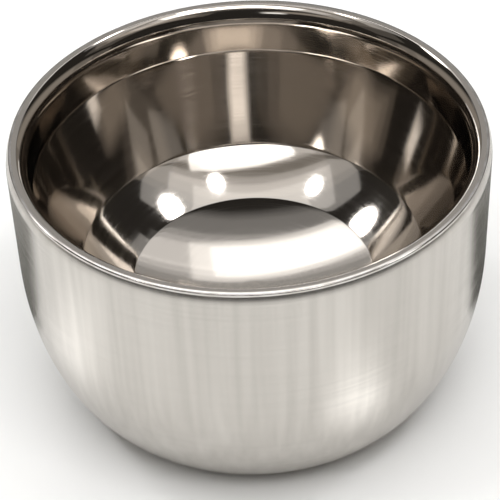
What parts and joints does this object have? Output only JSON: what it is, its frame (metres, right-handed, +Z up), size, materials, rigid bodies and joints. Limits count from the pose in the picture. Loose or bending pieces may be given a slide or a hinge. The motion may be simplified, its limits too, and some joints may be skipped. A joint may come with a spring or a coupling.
{
  "type": "double-wall shaving bowl",
  "caption": "Round steel shaving bowl without a handle, with a satin outer wall, a polished inner bowl and a closed air gap between them, welded at the rim.",
  "frame": {"origin": "centre of the foot ring, in the plane that the bowl stands on", "axes": "+Z up along the bowl's axis, towards its open mouth; +X and +Y are any two directions square to it, because the bowl is round"},
  "size_m": [0.1, 0.1, 0.0625],
  "materials": {
    "satin_steel": "stainless steel, finely brushed round the axis to a satin sheen",
    "polished_steel": "stainless steel, buffed to a mirror on the bowl side",
    "weld_steel": "stainless weld metal, ground flush and polished bright"
  },
  "bodies": {
    "root": {"outer_shell": "satin_steel", "inner_shell": "polished_steel", "rim_weld": "weld_steel"}
  },
  "joints": []
}
